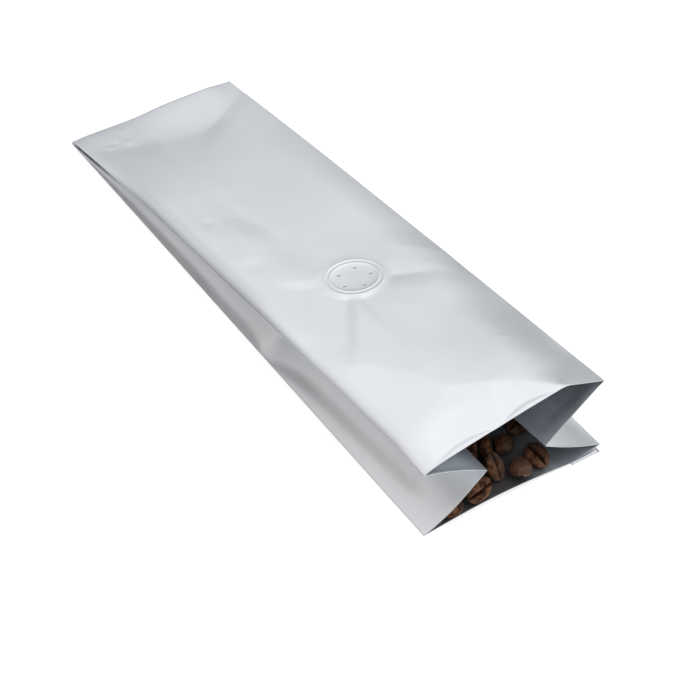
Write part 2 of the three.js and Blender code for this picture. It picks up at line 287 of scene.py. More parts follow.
# The shape of a bean: its grid, closer at the grooved face, its ends, the height of its face, cheeks and
# back, its groove with its waves (size, turns, shift from bean to bean), end (place, sharpness) and lips
# (height, place, width), and its lumps (height, fineness)
BEAN_ROWS = 61
BEAN_COLUMNS = 96
BEAN_GATHER = 0.45
BEAN_BLUNTNESS = 0.85
BEAN_FACE = 1.55
BEAN_CHEEKS = 0.5
BEAN_BACK = 3.5
GROOVE_WAVES = [(0.22, 2.4, 1.0), (0.1, 6.5, 1.7)]
GROOVE_END = (0.97, 6)
GROOVE_WIDTH = 0.38
GROOVE_DEPTH = 1.5
GROOVE_LIPS = (0.22, 0.95, 0.4)
BEAN_LUMPS = [(0.30, 0.28), (0.10, 0.85)]
LUMP_SHIFT = 7.3

# The stage, in metres: the floor, the lamp, the camera's sensor in millimetres, and the backdrop's colour
FLOOR_REACH = 40.0
FLOOR_DROP = 0.00005
LAMP_SIZE = 1.4
LAMP_PLACE = (-0.1, 0.05, 1.5)
SENSOR_WIDTH = 36
NEAREST = 0.01
BACKDROP = (1.1, 1.1, 1.1, 1)


class BagSizes(PropertyGroup):
    """Sizes of the bag and its valve."""

    panel_width: FloatProperty(
        name="Panel width", description="Width of the front and back panels", default=0.080, unit="LENGTH")
    bag_length: FloatProperty(
        name="Bag length", description="From the cut mouth to the sealed end", default=0.2726, unit="LENGTH")
    gusset_half: FloatProperty(
        name="Gusset half", description="Width of one half of a side gusset", default=0.0315, unit="LENGTH")
    film_thickness: FloatProperty(
        name="Film thickness", description="Thickness of the film", default=0.00014, unit="LENGTH")
    left_rise: FloatProperty(
        name="Left rise", description="Height of the panel's left edge at the mouth", default=0.0307,
        unit="LENGTH")
    right_rise: FloatProperty(
        name="Right rise", description="Height of the panel's right edge at the mouth", default=0.0353,
        unit="LENGTH")
    valve_place: FloatProperty(
        name="Valve place", description="From the mouth to the middle of the valve", default=0.1089,
        unit="LENGTH")
    valve_ring: FloatProperty(
        name="Valve ring", description="Diameter of the valve's raised ring", default=0.0235, unit="LENGTH")
    pin_circle: FloatProperty(
        name="Pin circle", description="Radius that the valve's five pin holes lie on", default=0.0066,
        unit="LENGTH")
    bean_length: FloatProperty(
        name="Bean length", description="Length of a bean of size 1", default=0.0112, unit="LENGTH")
    bean_width: FloatProperty(
        name="Bean width", description="Width of a bean of size 1", default=0.0082, unit="LENGTH")


class FilmFinish(PropertyGroup):
    """Colours of the film."""

    silver: FloatVectorProperty(
        name="Silver", description="Outside of the film", subtype="COLOR", size=4,
        default=(0.67, 0.686, 0.711, 1))
    silver_shade: FloatVectorProperty(
        name="Silver shade", description="Slightly darker patches of the outside", subtype="COLOR", size=4,
        default=(0.638, 0.654, 0.68, 1))
    lining: FloatVectorProperty(
        name="Lining", description="Inside of the film", subtype="COLOR", size=4,
        default=(0.50, 0.545, 0.60, 1))
    # Painted shade on the inside of the back panel
    inside_shade: FloatVectorProperty(
        name="Dust", description="Dust of the beans on the inside", subtype="COLOR", size=4,
        default=(0.075, 0.068, 0.067, 1))
    # Painted shade inside the valve's pin holes
    pin_hole_shade: FloatVectorProperty(
        name="Pin hole", description="Inside of the valve's pin holes", subtype="COLOR", size=4,
        default=(0.1, 0.1, 0.105, 1))
    cut_edge: FloatVectorProperty(
        name="Cut edge", description="Cut edge of the film at the mouth", subtype="COLOR", size=4,
        default=(0.86, 0.87, 0.88, 1))
    roughness: FloatProperty(
        name="Roughness", description="How matte the film is", default=0.35, subtype="FACTOR")


class BeanFinish(PropertyGroup):
    """Colours of the roasted beans and of the valve."""

    dark: FloatVectorProperty(
        name="Dark roast", description="Dark patches of a bean", subtype="COLOR", size=4,
        default=(0.026, 0.0098, 0.0055, 1))
    light: FloatVectorProperty(
        name="Light roast", description="Light patches of a bean", subtype="COLOR", size=4,
        default=(0.165, 0.074, 0.038, 1))
    dry: FloatVectorProperty(
        name="Dry roast", description="Duller and greyer beans", subtype="COLOR", size=4,
        default=(0.088, 0.060, 0.043, 1))
    chaff: FloatVectorProperty(
        name="Chaff", description="Dry skin left in the groove", subtype="COLOR", size=4,
        default=(0.26, 0.16, 0.09, 1))
    valve: FloatVectorProperty(
        name="Valve", description="Moulded valve body", subtype="COLOR", size=4,
        default=(0.62, 0.64, 0.66, 1))


class StageSettings(PropertyGroup):
    """Floor, light and camera."""

    floor: FloatVectorProperty(
        name="Floor", description="Pale floor", subtype="COLOR", size=4, default=(0.62, 0.62, 0.62, 1))
    overhead: FloatProperty(
        name="Overhead light", description="Power of the soft light over the bag", default=10.0, unit="POWER")
    sky: FloatProperty(
        name="Surrounding light", description="Strength of the light all round", default=0.957)
    lens: FloatProperty(
        name="Lens", description="Focal length on a 36 mm sensor", default=115.76, unit="CAMERA")
    azimuth: FloatProperty(
        name="Azimuth", description="How far round to the left the camera stands", subtype="ANGLE",
        default=math.radians(32.92))
    elevation: FloatProperty(
        name="Elevation", description="How far the camera looks down", subtype="ANGLE",
        default=math.radians(43.50))
    camera_place: FloatVectorProperty(
        name="Camera place", description="Where the camera stands", subtype="TRANSLATION", unit="LENGTH",
        default=(-0.3590, -0.5798, 0.6108))


class CoffeeBagSettings(PropertyGroup):
    """All that can be changed about the bag."""

    sizes: PointerProperty(type=BagSizes)
    film: PointerProperty(type=FilmFinish)
    beans: PointerProperty(type=BeanFinish)
    stage: PointerProperty(type=StageSettings)


def smooth(value):
    """Eases from 0 to 1."""
    value = np.clip(value, 0, 1)
    return value * value * (3 - 2 * value)


def mix(low, high, share):
    """Goes straight from low to high."""
    return low + (high - low) * share


def steps(*stops):
    """Numbers from the first stop to the last. Each stop is (place, longest step after it)."""
    places = []
    for (start, step), (end, _) in zip(stops, stops[1:]):
        count = math.ceil((end - start) / step)
        places.extend(np.linspace(start, end, count, endpoint=False))
    places.append(stops[-1][0])
    return np.array(places)


def bend(distance, reach):
    """Distance past a bend that turns evenly over this reach on either side of it."""
    return np.clip(distance + reach, 0, 2 * reach) ** 2 / (4 * reach) + np.maximum(distance - reach, 0)


def soft_min(first, second, softness):
    """The lower of two heights, rounded where they cross."""
    return -softness * np.logaddexp(-first / softness, -second / softness)


def curve(place, points):
    """A smooth curve through points of (knot, value). It turns only at knots and is level beyond them."""
    knots, values = np.array(points, dtype=float).T
    gaps = np.diff(knots)
    slopes = np.diff(values) / gaps
    both = slopes[:-1] * slopes[1:]
    tangents = np.zeros_like(values)
    same = both > 0
    tangents[1:-1][same] = 2 * both[same] / (slopes[:-1] + slopes[1:])[same]
    index = np.clip(np.searchsorted(knots, place) - 1, 0, len(gaps) - 1)
    u = np.clip((place - knots[index]) / gaps[index], 0, 1)
    start = (1 + 2 * u) * (1 - u) ** 2 * values[index] + u * (1 - u) ** 2 * gaps[index] * tangents[index]
    end = u * u * (u - 1) * gaps[index] * tangents[index + 1]
    return start + u * u * (3 - 2 * u) * values[index + 1] + end


def crease_height(run, across, points, before, after, rounding, power=CREASE_POWER):
    """Relief of one crease whose points are (place along its run, place across it, height)."""
    knots, centres, heights = zip(*points)
    offset = across - curve(run, list(zip(knots, centres)))
    away = np.hypot(offset, rounding) - rounding
    fade = np.clip(1 - away / np.where(offset < 0, before, after), 0, 1)
    inside = (run >= knots[0]) & (run <= knots[-1])
    return curve(run, list(zip(knots, heights))) * fade ** power * inside


class BagShape:
    """The middle of the film in millimetres: heights at x across the bag and s from its mouth."""

    def __init__(self, sizes):
        self.half = sizes.panel_width / MM / 2
        self.length = sizes.bag_length / MM
        self.gusset = sizes.gusset_half / MM
        self.skin = sizes.film_thickness / MM / 2
        self.rise = {"left": sizes.left_rise / MM, "right": sizes.right_rise / MM}
        self.valve = sizes.valve_place / MM
        self.ring = sizes.valve_ring / MM / 2
        self.pins = sizes.pin_circle / MM

    def openness(self, s):
        """1 at the mouth, 0 at the sealed edge."""
        return 1 - s / self.length

    def edge_height(self, side, s):
        """Height of a long edge of the front panel."""
        base = SEAL_RISE + (SEAL_STEP if side == "right" else 0)
        height = base + (self.rise[side] - base) * self.openness(s) ** SIDES[side]["fall"]
        return height + (curve(s, EDGE_LIFT) if side == "left" else 0)

    def fold_bead(self, s):
        """Half the thickness of the loose bend where two panels meet."""
        return mix(*FOLD_BEAD, smooth(self.openness(s) * FOLD_BEAD_GROWTH))

    def bead_share(self, inward):
        """How much of the bend shows at a distance inwards from the folded edge."""
        reach = np.clip(inward / FOLD_ROLL, 0, 1)
        rolled = np.sqrt(1 - (1 - reach) ** 2)
        return rolled * np.exp(-np.maximum(inward - FOLD_ROLL, 0) / FOLD_DECAY)

    def from_valve(self, x, s):
        """Distance from the middle of the valve."""
        return np.hypot(x - VALVE_ACROSS, s - self.valve)

    def valve_relief(self, x, s):
        """The valve's welded disc pressed through the film: a pad with a ring, a groove inside it, a shallow
        dish and five pin holes."""
        radius = self.from_valve(x, s)
        near = np.clip(0.5 - (s - self.valve) / (2 * self.ring), 0, 1)
        rise, width = VALVE_PAD
        total = rise * near * smooth((self.ring + width - radius) / width)
        for rise, outside, width in VALVE_RIDGES:
            total = total + rise * np.exp(-(((radius - self.ring - outside) / width) ** 2))
        rise, margin, flatness = VALVE_DISH
        total = total + rise * np.clip(1 - (radius / (self.ring - margin)) ** flatness, 0, 1)
        return total - PIN_DEPTH * self.pin_holes(x, s)

    def pin_holes(self, x, s):
        """1 in the middle of each of the valve's pin holes."""
        total = 0
        for turn in range(PIN_COUNT):
            angle = math.radians(PIN_START + 360 / PIN_COUNT * turn)
            dx = x - VALVE_ACROSS - self.pins * math.cos(angle)
            ds = s - self.valve - self.pins * math.sin(angle)
            total = total + np.exp(-(dx ** 2 + ds ** 2) / PIN_RADIUS ** 2)
        return total

    def front_height(self, x, s):
        """The front panel rises straight from its left edge and rounds down to its right one. Near the mouth
        it is pulled up to a ridge."""
        left = self.edge_height("left", s)
        right = self.edge_height("right", s)
        across = x + self.half
        height = mix(left, right, across / (2 * self.half))
        lip = smooth(1 - s / LIP_REACH)
        ridge = curve(s, RIDGE_PLACE)
        reach = curve(s, RIDGE_REACH)
        end, run = CROWN_END
        fullness = 1 - bend(s - end, run) / bend(self.length - end, run)
        past_ridge = bend(x - ridge, reach) / bend(self.half - ridge, reach)
        crown = across - 2 * self.half * past_ridge
        height = height + fullness * mix(CROWN_SLOPE, LIP_SLOPE, lip) * crown
        off_valve = smooth((self.from_valve(x, s) - self.ring) / VALVE_CLEAR)
        height = height + self.lip_facets(x, s) * (1 - past_ridge)
        creases = 0
        for crease in CROSS_CREASES:
            creases = creases + crease_height(x, s, **crease)
        for crease in LONG_CREASES:
            creases = creases + crease_height(s, x, **crease)
        height = height + off_valve * creases
        for place, along, rise, spread in DENTS:
            height = height + rise * np.exp(-((x - place) ** 2 + (s - along) ** 2) / spread ** 2)
        height = height + self.edge_roll(across, s) + self.seal_swell(x, s)
        return height + self.valve_relief(x, s) + self.lip_bead(x, s)

    def edge_roll(self, across, s):
        """The left edge rounds over, closely at the fold and gently further in."""
        close = (curve(s, EDGE_RISE), curve(s, EDGE_WIDTH))
        end, run = WIDE_ROLL_END
        fades = (smooth(self.openness(s) * EDGE_ROLL_FADE), smooth((end - s) / run))
        total = curve(s, EDGE_SETTLE) * np.clip(across / EDGE_SETTLE_WIDTH, 0, 1)
        for (rise, width), fade in zip((close, WIDE_ROLL), fades):
            total = total + rise * fade * (1 - np.clip(1 - across / width, 0, 1) ** EDGE_ROLL_POWER)
        return total * (1 - across / (2 * self.half))

    def painted_shade(self, across, s):
        """How much darker the film is painted along the left fold, as painted shade."""
        start, end, run = PAINTED_SHADE_RUN
        width, ease = PAINTED_SHADE_WIDTH
        return smooth((width - across) / ease) * smooth((s - start) / run) * smooth((end - s) / run)

    def seal_swell(self, x, s):
        """The sealed end swells, most of all right of the middle."""
        along = np.clip((s - SEAL_SWELL_START) / (self.length - SEAL_SWELL_START), 0, 1)
        off_edge = smooth((self.half - x) / SEAL_SWELL_EASE)
        rise, start, ease = SEAL_SWELL_RIGHT
        right = rise * smooth((x - start) / ease) * off_edge
        rise, ease = SEAL_SWELL_ALL
        overall = rise * smooth((x + self.half) / ease) * off_edge
        return along ** SEAL_SWELL_GROWTH * (right + overall)

    def lip_facets(self, x, s):
        """Where the lip is pulled up, a facet along it, one along the left edge and one of the panel meet."""
        slope, growth = SIDE_FACET
        along_lip = (LIP_FACET[0] + LIP_FACET[1] * (x + self.half)) * (s + LIP_FACET_START)
        along_side = (x + self.half) * (slope + growth * s)
        panel = curve(RIDGE_ACROSS[0] * x + RIDGE_ACROSS[1] * s, PANEL_FACET)
        panel = panel * smooth(1 - (s - PANEL_FACET_END[0]) / PANEL_FACET_END[1])
        pulled = soft_min(along_lip, along_side, softness=LIP_FACET_SOFTNESS)
        return soft_min(pulled, panel, softness=FACET_SOFTNESS)

    def lip_bead(self, x, s):
        """The cut lip curls in two shallow lengths that meet left of the middle."""
        share = sum(np.clip(1 - ((x - middle) / half) ** 2, 0, 1) for middle, half in LIP_CURL_LENGTHS)
        depth = np.maximum(LIP_CURL_DEPTH * share, LIP_CURL_LEAST)
        return depth * curve(s / depth, LIP_CURL)

    def back_height(self, x, s):
        """The back panel lies on the floor. The strip beside the fin is propped up and the lip arches."""
        strip = np.clip((x - FIN_ROOT) / (self.half - FIN_ROOT), 0, 1)
        lift = mix(FIN_THICKNESS + self.skin, BACK_LIFT, self.openness(s))
        arch = np.sin(np.pi * np.clip((x + self.half) / (FIN_ROOT + self.half), 0, 1))
        flat = self.skin + lift * strip ** BACK_LIFT_CURVE
        return flat + LIP_ARCH * arch * smooth(1 - s / LIP_ARCH_REACH)

    def fold_point(self, side, s):
        """The inward fold of a gusset: its x and height."""
        height = self.edge_height(side, s)
        share = mix(SEAL_FOLD_SHARE, SIDES[side]["fold"], self.openness(s))
        depth = np.sqrt(self.gusset ** 2 - (height / 2) ** 2)
        return SIDES[side]["sign"] * (self.half - depth), self.skin + share * (height - self.skin)

    def front_section(self, s):
        """x and height across the front panel from left to right."""
        x = self.panel_columns()[None, :]
        bead = self.fold_bead(s) * self.bead_share(self.half - np.abs(x))
        return np.broadcast_to(x, (len(s), x.shape[1])), self.front_height(x, s) + bead

    def back_section(self, s):
        """x and height across the back panel from right to left."""
        x = self.back_columns()[None, ::-1]
        bead = self.fold_bead(s)
        inward = self.half - np.abs(x)
        rolled = self.bead_share(inward)
        on_floor = bead * np.where(inward < FOLD_ROLL, 1 - rolled, 0)
        lifted = -bead * rolled * np.clip((x - FIN_ROOT) / FIN_EASE, 0, 1)
        height = self.back_height(x, s) + np.where(x < 0, on_floor, lifted)
        return np.broadcast_to(x, height.shape), np.maximum(height, self.skin)

    def gusset_section(self, side, upper, s):
        """x and height across half a gusset, from the bag's edge to the fold, both left out."""
        sign = SIDES[side]["sign"]
        fold_x, fold_z = self.fold_point(side, s)
        bead = self.fold_bead(s)
        if upper:
            edge = self.front_height(np.array([[sign * self.half]]), s)
            bow = SIDES[side]["upper_bow"]
            push = -bead
        else:
            edge = self.back_height(np.array([[sign * self.half]]), s)
            edge = edge + (bead if side == "left" else 0)
            bow = SIDES[side]["lower_bow"]
            push = bead
        width = np.abs(fold_x - sign * self.half)
        roll = FOLD_ROLL * (1 - np.cos(np.radians(np.arange(FOLD_TURN, 91, FOLD_TURN))))[None, :]
        beyond = np.linspace(0, 1, GUSSET_COLUMNS)[None, 1:-1] ** GUSSET_SPREAD
        inward = np.concatenate([np.broadcast_to(roll, (len(s), roll.shape[1])),
                                 mix(FOLD_ROLL, width, beyond)], axis=1)
        share = inward / width
        openness = self.openness(s)
        swell = GUSSET_SWELL * 4 * openness * (1 - openness)
        eased = mix(share, smooth(share), swell)
        height = mix(edge, fold_z, eased) + 4 * bow * openness * share * (1 - share)
        if upper:
            place, reach = BULGE_PLACE
            bulge = SIDES[side]["bulge"] * 4 * share * (1 - share)
            height = height + bulge * smooth(s / place) * smooth(1 - (s - place) / reach)
        if side == "left" and not upper:
            height = edge + self.bank(inward, width, fold_z - edge, s)
            for drop, reach in LIP_DROOPS:
                droop = drop * np.clip(1 - s / reach, 0, 1) ** 2
                height = height - droop * smooth(inward / LIP_DROOP_EASE) * (1 - share)
        return sign * (self.half - inward), height + push * self.bead_share(inward) * (1 - share)

    def bank(self, inward, width, fold_rise, s):
        """Rise of the left gusset's lower half above its edge. A steep bank runs along the bag's edge in the
        far half, dies out at a kink, and in the near half swings inwards towards the mouth."""
        top = self.edge_height("left", s)
        far = s > GUSSET_KINK
        foot = np.where(far, BANK_FOOT_FAR, curve(s, BANK_FOOT))
        brow = np.where(far, BANK_BROW_SHARE * top, curve(s, BANK_BROW))
        share, more = BANK_SHELF
        shelf = np.maximum(share * top + more, brow + more)
        squash, shelf_squash = [
            smooth((top - SEAL_RISE - start) / run) for start, run in (BANK_FLATTENS, SHELF_FLATTENS)]
        before = squash * curve(s, BANK_BEFORE)
        steep = squash * curve(s, BANK_STEEP)
        after = shelf_squash * curve(s, BANK_AFTER)
        softness = curve(s, BANK_SOFTNESS)

        def turn(place, spot):
            rest = np.logaddexp(0, -place / softness)
            return softness * (np.logaddexp(0, (spot - place) / softness) - rest)

        def banked(spot):
            return before * spot + (steep - before) * turn(foot, spot) + (after - steep) * turn(brow, spot)

        end = (fold_rise - banked(width)) / (width - shelf)
        return banked(inward) + end * turn(shelf, inward)

    def folded(self, middle):
        """x of a panel's columns: these, and close ones at its folded edges."""
        roll = FOLD_ROLL * (1 - np.cos(np.radians(np.arange(0, 90, FOLD_TURN))))
        return np.concatenate([-self.half + roll, middle, (self.half - roll)[::-1]])

    def panel_columns(self):
        """x of the front panel's columns: close at the left edge and over the valve."""
        reach = self.ring + VALVE_MARGIN
        inner = self.half - FOLD_ROLL
        panel = COLUMN_STEPS["panel"]
        near_edge = [(-inner, COLUMN_STEPS["edge"]), (-inner + EDGE_COLUMNS, panel)]
        over_valve = [(VALVE_ACROSS - reach, VALVE_STEP), (VALVE_ACROSS + reach, panel)]
        return self.folded(steps(*near_edge, *over_valve, (inner, None)))

    def back_columns(self):
        """x of the back panel's columns."""
        inner = self.half - FOLD_ROLL
        middle = steps((-inner, COLUMN_STEPS["back"]), (FIN_ROOT, COLUMN_STEPS["fin"]), (inner, None))
        return self.folded(middle)

    def stations(self):
        """Distances from the mouth of the film's rings: close at the lip and over the valve."""
        reach = self.ring + VALVE_MARGIN
        over_valve = [(self.valve - reach, VALVE_STEP), (self.valve + reach, FAR_RING_STEP)]
        return steps(*LIP_RINGS, *over_valve, SEAL_RINGS, (self.length, None))[:, None]

    def place(self, x, height, s):
        """Points in metres, where the solids are. What is lifted at the mouth is drawn back to the seal."""
        back = DRAW_BACK * self.openness(s) * height ** 2 / (2 * self.length)
        y = s + back - self.length / 2
        return np.stack([x, np.broadcast_to(y, height.shape), height], axis=-1) * MM


def new_object(name, mesh, *materials):
    """Links a mesh as an object of the bag's body."""
    obj = bpy.data.objects.new(name, mesh)
    bpy.context.scene.collection.objects.link(obj)
    for material in materials:
        mesh.materials.append(material)
    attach(obj, BODY)
    return obj


def grid_mesh(name, points, closed):
    """A mesh of quads over rows of points. A closed one joins the end of each row to its start."""
    rows, columns = points.shape[:2]
    corner = np.arange(rows * columns).reshape(rows, columns)
    after = np.roll(corner, -1, axis=1)
    if not closed:
        corner = corner[:, :-1]
        after = after[:, :-1]
    quads = np.stack([corner[:-1], after[:-1], after[1:], corner[1:]], axis=-1).reshape(-1, 4)
    mesh = bpy.data.meshes.new(name)
    mesh.from_pydata(points.reshape(-1, 3).tolist(), [], quads.tolist())
    mesh.shade_smooth()
    return mesh


def add_mask(mesh, name, values):
    """Stores a number at each point of a mesh, for its material to read."""
    attribute = mesh.attributes.new(name, "FLOAT", "POINT")
    attribute.data.foreach_set("value", np.asarray(values, dtype=np.float32).ravel())


def mark_sharp(mesh, columns, count):
    """Makes the lines along these columns of a closed grid sharp."""
    sharp = mesh.attributes.new("sharp_edge", "BOOLEAN", "EDGE")
    ends = np.zeros(len(mesh.edges) * 2, dtype=np.int32)
    mesh.edges.foreach_get("vertices", ends)
    ends = ends.reshape(-1, 2) % count
    along = ends[:, 0] == ends[:, 1]
    sharp.data.foreach_set("value", along & np.isin(ends[:, 0], columns))


def thicken(obj, thickness):
    """Gives a skin its thickness, with the lining on its inner side and the cut edge round it."""
    solid = obj.modifiers.new("Film thickness", "SOLIDIFY")
    solid.thickness = thickness
    solid.offset = 0
    solid.use_rim = True
    solid.material_offset = 1
    solid.material_offset_rim = 2


class Shader:
    """A material under construction, with short ways to add its nodes."""

    def __init__(self, name):
        self.material = bpy.data.materials.new(name)
        self.material.use_nodes = True
        self.tree = self.material.node_tree
        self.surface = self.tree.nodes["Principled BSDF"]
        self.object_space = self.tree.nodes.new("ShaderNodeTexCoord").outputs["Object"]

    def link(self, source, target):
        self.tree.links.new(source, target)

    def set(self, **values):
        """Sets sockets of the surface that are the same all over."""
        for name, value in values.items():
            self.surface.inputs[name.replace("_", " ").title()].default_value = value

    def noise(self, size, detail=3.0, rough=0.55, stretch=(1, 1, 1)):
        """Noise with features of about this size in metres."""
        place = self.tree.nodes.new("ShaderNodeMapping")
        place.inputs["Scale"].default_value = stretch
        self.link(self.object_space, place.inputs["Vector"])
        node = self.tree.nodes.new("ShaderNodeTexNoise")
        node.inputs["Scale"].default_value = 1 / size
        node.inputs["Detail"].default_value = detail
        node.inputs["Roughness"].default_value = rough
        self.link(place.outputs["Vector"], node.inputs["Vector"])
        return node.outputs["Fac"]

    def mask(self, name):
        """A number that the mesh stores at its points."""
        node = self.tree.nodes.new("ShaderNodeAttribute")
        node.attribute_name = name
        return node.outputs["Fac"]

    def span(self, value, low, high, to_low, to_high):
        """Maps a number from one range to another."""
        node = self.tree.nodes.new("ShaderNodeMapRange")
        for socket, number in zip(node.inputs[1:5], (low, high, to_low, to_high)):
            socket.default_value = number
        self.link(value, node.inputs["Value"])
        return node.outputs["Result"]

    def math(self, operation, first, second):
        """Joins two numbers; each is an output or a plain number."""
        node = self.tree.nodes.new("ShaderNodeMath")
        node.operation = operation
        for socket, value in zip(node.inputs, (first, second)):
            if isinstance(value, (int, float)):
                socket.default_value = value
            else:
                self.link(value, socket)
        return node.outputs["Value"]

    def blend(self, share, first, second):
        """Mixes two colours; each is an output or a plain colour."""
        node = self.tree.nodes.new("ShaderNodeMix")
        node.data_type = "RGBA"
        self.link(share, node.inputs["Factor"])
        for socket, value in zip(node.inputs[6:8], (first, second)):
            if isinstance(value, bpy.types.NodeSocket):
                self.link(value, socket)
            else:
                socket.default_value = tuple(value)
        return node.outputs[2]

    def colour(self, source):
        self.link(source, self.surface.inputs["Base Color"])

    def roughness(self, source):
        self.link(source, self.surface.inputs["Roughness"])

    def bump(self, height, depth, strength=1.0):
        """Adds relief of this depth in metres on top of what is there."""
        node = self.tree.nodes.new("ShaderNodeBump")
        node.inputs["Distance"].default_value = depth
        node.inputs["Strength"].default_value = strength
        self.link(height, node.inputs["Height"])
        normal = self.surface.inputs["Normal"]
        if normal.is_linked:
            self.link(normal.links[0].from_socket, node.inputs["Normal"])
        self.link(node.outputs["Normal"], normal)


def shade(colour, share):
    """This share of a colour, with full opacity."""
    return [share * channel for channel in colour[:3]] + [1]


def silver_film(finish):
    """Outside of the film: metallised and matte."""
    shader = Shader("silver_film")
    patches = shader.span(shader.noise(0.035, detail=2), 0.35, 0.65, 0, 1)
    base = shader.blend(patches, finish.silver, finish.silver_shade)
    # Painted shade: the film is darker where the mask says, along the left fold and over the back seam
    base = shader.blend(shader.mask("painted_shade"), base, shade(finish.silver_shade, PAINTED_SHADE_TONE))
    # Painted shade darkens the valve's pin holes
    shader.colour(shader.blend(shader.mask("pin_shade"), base, finish.pin_hole_shade))
    grain = shader.noise(0.0012, detail=4)
    shader.roughness(shader.span(grain, 0.3, 0.7, finish.roughness - 0.03, finish.roughness + 0.04))
    shader.bump(grain, 0.000012)
    shader.bump(shader.noise(0.009, detail=2), 0.00005)
    shader.set(metallic=0.92)
    return shader.material


def lining_film(finish):
    """Inside of the film: dull grey and streaked, with painted shade darkening the back panel, where the beans
    lie.
    """
    shader = Shader("lining_film")
    streaks = shader.noise(0.012, detail=3, stretch=(1, 0.25, 1))
    clean = shader.blend(shader.span(streaks, 0.35, 0.65, 0, 1), finish.lining, shade(finish.lining, 0.7))
    # Painted shade darkens the inside of the back panel
    shader.colour(shader.blend(shader.mask("inside_shade"), clean, finish.inside_shade))
    shader.roughness(shader.span(shader.noise(0.003), 0.3, 0.7, 0.32, 0.45))
    shader.bump(streaks, 0.00008)
    shader.set(metallic=0.5)
    return shader.material


def cut_film(finish):
    """Cut edge of the film, where its layers show pale, and painted dark on the back panel as painted shade."""
    shader = Shader("cut_film")
    grain = shader.noise(0.0015)
    pale = shader.blend(grain, finish.cut_edge, shade(finish.cut_edge, 0.85))
    # Painted shade: the cut edge of the back panel is darkened
    shader.colour(shader.blend(shader.mask("on_back"), pale, shade(finish.cut_edge, 0.12)))
    shader.roughness(shader.span(grain, 0.3, 0.7, 0.4, 0.55))
    return shader.material


def moulded_valve(finish):
    """Moulded plastic of the valve: an even fine grain."""
    shader = Shader("moulded_valve")
    grain = shader.noise(0.0006, detail=4)
    shader.colour(shader.blend(grain, finish.valve, shade(finish.valve, 0.9)))
    shader.roughness(shader.span(grain, 0.3, 0.7, 0.42, 0.55))
    shader.bump(grain, 0.00001)
    return shader.material


def roasted_bean(finish):
    """Roasted bean: mottled brown, faintly oily, with painted shade in the groove and dry chaff in it."""
    shader = Shader("roasted_bean")
    mottle = shader.noise(0.0022, detail=5, rough=0.62)
    tone = shader.blend(shader.span(mottle, 0.4, 0.62, 0, 1), finish.dark, finish.light)
    tone = shader.blend(shader.span(shader.noise(0.012, detail=0), 0.48, 0.68, 0, 0.6), tone, finish.dry)
    fine = shader.noise(0.0005, detail=5, rough=0.65)
    groove = shader.mask("groove")
    # Painted shade: the groove darkens towards its middle
    tone = shader.blend(shader.span(groove, 0.12, 0.6, 0, 0.9), tone, shade(finish.dark, 0.35))
    flakes = shader.span(fine, 0.4, 0.62, 0, 0.8)
    chaff = shader.math("MULTIPLY", shader.span(groove, 0.86, 1.0, 0, 1), flakes)
    shader.colour(shader.blend(chaff, tone, finish.chaff))
    shader.roughness(shader.span(fine, 0.3, 0.7, 0.34, 0.58))
    shader.surface.inputs["Specular IOR Level"].default_value = 0.1
    shader.bump(mottle, 0.0004)
    shader.bump(fine, 0.00008)
    return shader.material


def pale_floor(colour):
    """A plain pale floor that glows a little, as a light table does."""
    shader = Shader("pale_floor")
    shader.colour(shader.blend(shader.noise(0.4), colour, shade(colour, 0.99)))
    shader.set(roughness=0.7, emission_color=(1, 1, 1, 1), emission_strength=0.5)
    return shader.material


class COFFEEBAG_OT_film(Operator):
    """Makes the film: front panel, gussets and back panel as one creased skin"""

    bl_idname = "coffee_bag.film"
    bl_label = "Make film"

    def execute(self, context):
        settings = context.scene.coffee_bag
        shape = BagShape(settings.sizes)
        s = shape.stations()
        front = shape.front_section(s)
        back = shape.back_section(s)
        right_fold = shape.fold_point("right", s)
        left_fold = shape.fold_point("left", s)
        right_lower = [part[:, ::-1] for part in shape.gusset_section("right", False, s)]
        left_upper = [part[:, ::-1] for part in shape.gusset_section("left", True, s)]
        parts = [front, shape.gusset_section("right", True, s), right_fold, right_lower, back,
                 shape.gusset_section("left", False, s), left_fold, left_upper]
        x = np.concatenate([part[0] for part in parts], axis=1)
        height = np.concatenate([part[1] for part in parts], axis=1)
        points = shape.place(x, height, s)
        starts = np.cumsum([0] + [part[0].shape[1] for part in parts])
        count = x.shape[1]
        mesh = grid_mesh("film", points, closed=True)
        mark_sharp(mesh, [starts[0], starts[1] - 1, starts[2], starts[4], starts[5] - 1, starts[6]], count)
        on_back = np.zeros_like(x)
        on_back[:, starts[4]:starts[5]] = 1
        add_mask(mesh, "on_back", on_back)
        # Painted shade over the inside of the back panel
        middle, reach, ease = INSIDE_SHADE_PLACE
        add_mask(mesh, "inside_shade", INSIDE_SHADE_MOST * on_back * smooth((reach - np.abs(x - middle)) / ease))
        on_front = {"pin_shade": shape.pin_holes(front[0], s), "painted_shade": shape.painted_shade(front[0] + shape.half, s)}
        for name, values in on_front.items():
            mask = np.zeros_like(x)
            mask[:, :starts[1]] = values
            add_mask(mesh, name, mask)
        finish = settings.film
        film = new_object("film_skin", mesh, silver_film(finish), lining_film(finish), cut_film(finish))
        thicken(film, settings.sizes.film_thickness)
        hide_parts("film")
        return {"FINISHED"}


